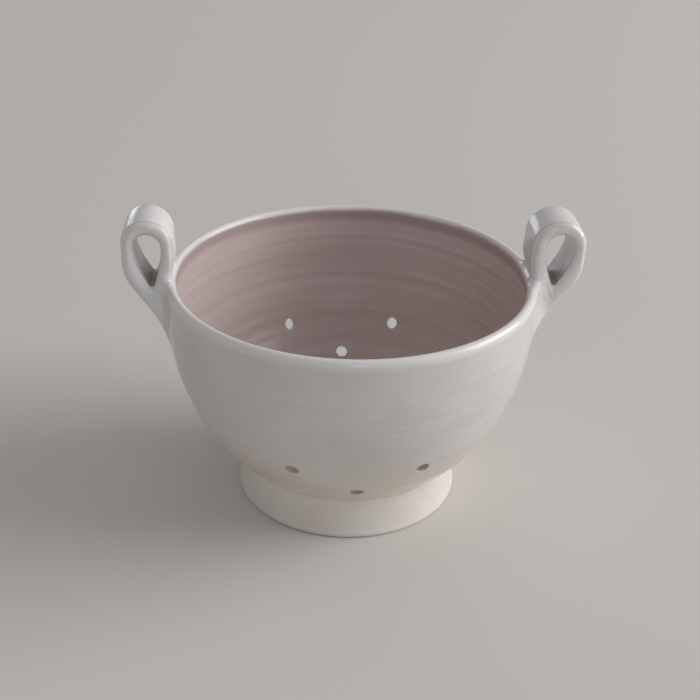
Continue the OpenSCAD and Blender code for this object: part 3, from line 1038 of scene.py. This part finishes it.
def pink_glaze(tree):
    """Colour, roughness and relief of the dusty pink glaze inside, streaked by the throwing lines."""
    fine = cloud(tree, clay_place(tree, PINK_FINE, (3, 0, 1)), 4, 0.62)
    broad = cloud(tree, clay_place(tree, PINK_BROAD, (1, 7, 0)), 3, 0.55)
    drift = cloud(tree, clay_place(tree, PINK_DRIFT, (8, 2, 4)), 3, 0.5)
    streak = sums(tree, "ADD", sums(tree, "MULTIPLY", fine, 0.45), weighed(tree, broad, 0.35, drift, 0.20))
    colour = blend_colours(tree, between(tree, streak, 0.38, 0.64), PINK, PINK_DEEP)
    rough = between(tree, fine, 0.3, 0.7, 0.22, 0.34)
    return colour, rough, weighed(tree, fine, 0.6, broad, 0.4)


def finish_glaze(tree, surface, colour, rough, relief, height):
    """Gives a glaze its colour, its gloss and its relief, whose height is in mm."""
    bump = add(tree, "ShaderNodeBump")
    bump.inputs["Strength"].default_value = 1.0
    bump.inputs["Distance"].default_value = height * MM
    feed(tree, bump.inputs["Height"], relief)
    feed(tree, surface.inputs["Base Color"], colour)
    feed(tree, surface.inputs["Roughness"], rough)
    tree.links.new(bump.outputs["Normal"], surface.inputs["Normal"])
    surface.inputs["IOR"].default_value = GLASS_IOR


def bowl_glaze():
    """White outside and over the lip, dusty pink inside, with an uneven line where they meet, and painted
    shade inside the drain holes.
    """
    material, tree, surface = new_material("white_and_dusty_pink_glaze")
    drop = below_rim(tree)
    white, white_rough, white_relief = wall_white(tree, drop)
    pink, pink_rough, pink_relief = pink_glaze(tree)
    through = between(tree, own(tree, "through"), 0.45, 0.8)
    inside = sums(tree, "MULTIPLY", through, between(tree, drop, *PINK_FROM))
    outside = sums(tree, "SUBTRACT", 1, inside)
    # The pink is darker in a band a few millimetres below the rim
    dark_band = sums(tree, "MULTIPLY", between(tree, drop, *DARK_BAND_FROM), between(tree, drop, *DARK_BAND_TO, 1, 0))
    pink = tint(tree, pink, PINK_DARK_BAND, dark_band, 0.8)
    colour = blend_colours(tree, inside, white, pink)
    # A few iron specks, far apart
    specks = dots(tree, 62, (0.37, 0.11, 0.83), full=0.012, end=0.020, channel=0, share=0.30)
    colour = tint(tree, colour, SPECK, specks, 0.5)
    # Painted shade: the drain holes' bores are coloured darker
    colour = blend_colours(tree, own(tree, "bore_shade"), colour, BORE_SHADE)
    rough = weighed(tree, white_rough, outside, pink_rough, inside)
    relief = weighed(tree, white_relief, outside, pink_relief, inside)
    finish_glaze(tree, surface, colour, rough, relief, height=0.10)
    return material


def handle_glaze():
    """The same white on the handles, thicker, and as on the wall where they were luted to it, with painted
    shade in the foot of each opening.
    """
    material, tree, surface = new_material("white_glaze")
    colour, rough, relief = white_glaze(tree, HANDLE_WHITE, HANDLE_THIN)
    colour = blend_colours(tree, own(tree, "luted"), colour, wall_white(tree, below_rim(tree))[0])
    # Painted shade in the narrow foot of the opening
    colour = tint(tree, colour, POCKET_SHADE, own(tree, "pocket_shade"), 0.75)
    rough = sums(tree, "ADD", rough, sums(tree, "MULTIPLY", own(tree, "loop"), 0.14))
    finish_glaze(tree, surface, colour, rough, relief, height=0.05)
    return material


def foot_slip():
    """Thin satin glaze over a paler, slightly pink body, with pinholes and turning lines."""
    material, tree, surface = new_material("foot_slip")
    drift = cloud(tree, clay_place(tree, SLIP_DRIFT, (4, 4, 1)), 4, 0.6)
    lines = cloud(tree, clay_place(tree, SLIP_LINES, (0, 3, 9)), 3, 0.6)
    colour = blend_colours(tree, between(tree, drift, 0.35, 0.68), SLIP, SLIP_THIN)
    colour = blend_colours(tree, between(tree, lines, 0.45, 0.75, 0, 0.2), colour, SLIP_LINE)
    pinholes = dots(tree, 210, (0, 0, 0), full=0.03, end=0.10, channel=1, share=0.20)
    colour = tint(tree, colour, PINHOLE, pinholes, 0.55)
    colour = tint(tree, colour, SLIP_EDGE, own(tree, "edge"), 0.4)
    rough = between(tree, drift, 0.3, 0.7, 0.34, 0.50)
    grain = cloud(tree, clay_place(tree, SLIP_GRAIN), 3, 0.6)
    body = weighed(tree, lines, 0.5, grain, 0.35)
    relief = sums(tree, "SUBTRACT", body, sums(tree, "MULTIPLY", pinholes, 0.9))
    finish_glaze(tree, surface, colour, rough, relief, height=0.14)
    return material


def give(piece, material):
    """Glazes a piece."""
    piece.data.materials.clear()
    piece.data.materials.append(material)
    only(piece)
    bpy.ops.object.shade_smooth_by_angle(angle=math.radians(SHARP_DEGREES))


# The pieces
bowl = throw_bowl(steps=288)
pierce_drain_holes(bowl)
spot = points_of(bowl)
paint(bowl, "through", depth_share(np.hypot(spot[:, 0], spot[:, 1]), spot[:, 2]))
paint(bowl, "edge", np.zeros(len(spot)))
# Painted shade inside the drain holes, fading out at the mouths
paint(bowl, "bore_shade", 1 - smooth_step(*BORE_SHADE_FADE, hole_gap(spot)))
give(bowl, bowl_glaze())
even_shading(bowl)
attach(bowl, "root")
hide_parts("bowl")

foot = turn_foot_ring(steps=256)
paint(foot, "edge", sharp_places(foot, THIN_RADIUS))
give(foot, foot_slip())
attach(foot, "root")
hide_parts("foot_ring")

glaze = handle_glaze()
for word, hand in HANDS.items():
    strap = pull_strap(hand, word + "_strap_loop")
    loop, pocket_shade, edge = inside_loop(strap, hand)
    paint(strap, "edge", np.maximum(sharp_places(strap, THIN_RADIUS), OPENING_EDGE * edge))
    paint(strap, "loop", loop)
    paint(strap, "pocket_shade", pocket_shade)
    paint(strap, "luted", 1 - smooth_step(*LUTED_FADE, wall_gap(points_of(strap))[0]))
    give(strap, glaze)
    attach(strap, "root")
    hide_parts(word + "_handle")


# The stage: a pale floor, soft studio light and the camera at the photograph's angle

FLOOR_PALE = (0.664, 0.648, 0.629, 1)
ROOM_PALE = (0.362, 0.350, 0.341, 1)
LAMP_AIM_H = 0.08

# The camera: its angles in degrees, its distance in mm, and in pixels of the 700 by 700
# photograph its lens, half the picture and the place where the middle of the foot stands
CAMERA_UP = 28.73
CAMERA_TURN = 4.2
CAMERA_ROLL = 1.6
CAMERA_DISTANCE = 572.96
SENSOR_W = 36.0
LENS_PX = 1200.0
HALF_PX = 350.0
FOOT_PX = (346.23, 472.99)


def pale_floor():
    bpy.ops.object.select_all(action="DESELECT")
    bpy.ops.mesh.primitive_circle_add(vertices=96, radius=6, fill_type="NGON", location=(0, 0, 0))
    floor = bpy.context.object
    floor.name = "floor"
    material, _, surface = new_material("pale_floor")
    surface.inputs["Base Color"].default_value = FLOOR_PALE
    surface.inputs["Roughness"].default_value = 0.9
    surface.inputs["Specular IOR Level"].default_value = 0.2
    floor.data.materials.append(material)


def lamp(name, towards, distance, size, strength, colour):
    """A soft lamp that looks at the bowl; its strength is what a white card facing it would show."""
    way = Vector(towards).normalized()
    data = bpy.data.lights.new(name, "AREA")
    data.shape = "RECTANGLE"
    data.size, data.size_y = size
    data.color = colour
    data.energy = strength * (math.pi * distance) ** 2
    holder = bpy.data.objects.new(name, data)
    bpy.context.scene.collection.objects.link(holder)
    holder.location = way * distance + Vector((0, 0, LAMP_AIM_H))
    holder.rotation_euler = way.to_track_quat("Z", "Y").to_euler()


def studio():
    """A key light from the right, a little light from above and two small windows."""
    world = bpy.data.worlds.new("studio_world")
    bpy.context.scene.world = world
    world.use_nodes = True
    world.node_tree.nodes["Background"].inputs["Color"].default_value = ROOM_PALE
    world.node_tree.nodes["Background"].inputs["Strength"].default_value = 1.0
    lamp("key_from_right", (1.0, 0.0, 0.42), 4.2, (3.0, 3.0), 0.85, (1.0, 0.995, 0.985))
    lamp("soft_overhead", (0.15, 0.1, 1.0), 1.6, (1.4, 1.4), 0.03, (0.97, 0.99, 1.0))
    lamp("window_back_left", (-0.40, 0.92, 0.095), 2.0, (0.45, 0.48), 0.040, (0.86, 0.94, 1.0))
    lamp("window_front", (0.03, -0.95, 0.25), 1.9, (0.13, 0.45), 0.05, (0.84, 0.93, 1.0))


def photo_camera():
    """Stands where the photograph was taken."""
    elevation, turn, roll = (math.radians(v) for v in (CAMERA_UP, CAMERA_TURN, CAMERA_ROLL))
    level = Matrix(((1, 0, 0), (0, math.sin(elevation), math.cos(elevation)),
                    (0, math.cos(elevation), -math.sin(elevation))))
    tilt = Matrix(((math.cos(roll), math.sin(roll), 0), (-math.sin(roll), math.cos(roll), 0), (0, 0, 1)))
    view = tilt @ level @ Matrix.Rotation(turn, 3, "Z")
    right_px, down_px = FOOT_PX[0] - HALF_PX, FOOT_PX[1] - HALF_PX
    sight = Vector((right_px / LENS_PX, -down_px / LENS_PX, 1)).normalized() * (CAMERA_DISTANCE * MM)
    right, up, ahead = view
    data = bpy.data.cameras.new("photo_camera")
    data.sensor_width, data.lens = SENSOR_W, SENSOR_W * LENS_PX / (2 * HALF_PX)
    data.clip_start, data.clip_end = 0.01, 50
    camera = bpy.data.objects.new("photo_camera", data)
    bpy.context.scene.collection.objects.link(camera)
    turned = Matrix((right, up, -ahead)).transposed().to_4x4()
    camera.matrix_world = Matrix.Translation(-(view.transposed() @ sight)) @ turned
    bpy.context.scene.camera = camera


pale_floor()
studio()
photo_camera()
bpy.context.scene.view_settings.view_transform = "Standard"
